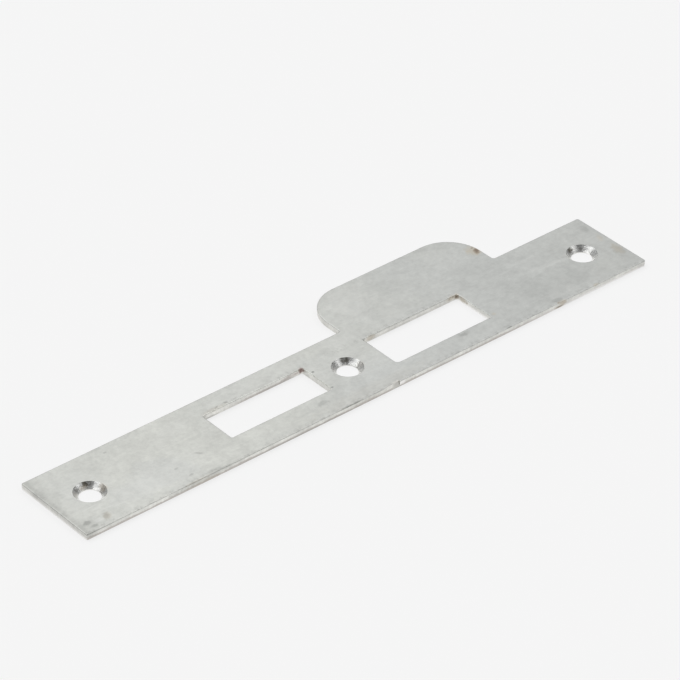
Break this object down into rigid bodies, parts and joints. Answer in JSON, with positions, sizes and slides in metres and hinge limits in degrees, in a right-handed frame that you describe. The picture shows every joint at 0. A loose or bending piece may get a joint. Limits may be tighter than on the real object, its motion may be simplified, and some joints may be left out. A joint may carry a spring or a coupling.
{
  "type": "door strike plate",
  "caption": "Flat metal strike plate for a mortise lock, with a rounded flat lip, a latch opening, a deadbolt opening and countersunk screw holes.",
  "frame": {"origin": "axis of the middle screw hole, on the back face that lies against the door frame", "axes": "+X along the strip towards the latch opening's end, +Y across the strip towards the lip, +Z out of the countersunk front face"},
  "size_m": [0.17, 0.0388, 0.0015],
  "materials": {
    "zinc_steel": "matt zinc plating, handled and rust-specked"
  },
  "bodies": {
    "root": {"strike_plate": "zinc_steel"}
  },
  "joints": []
}
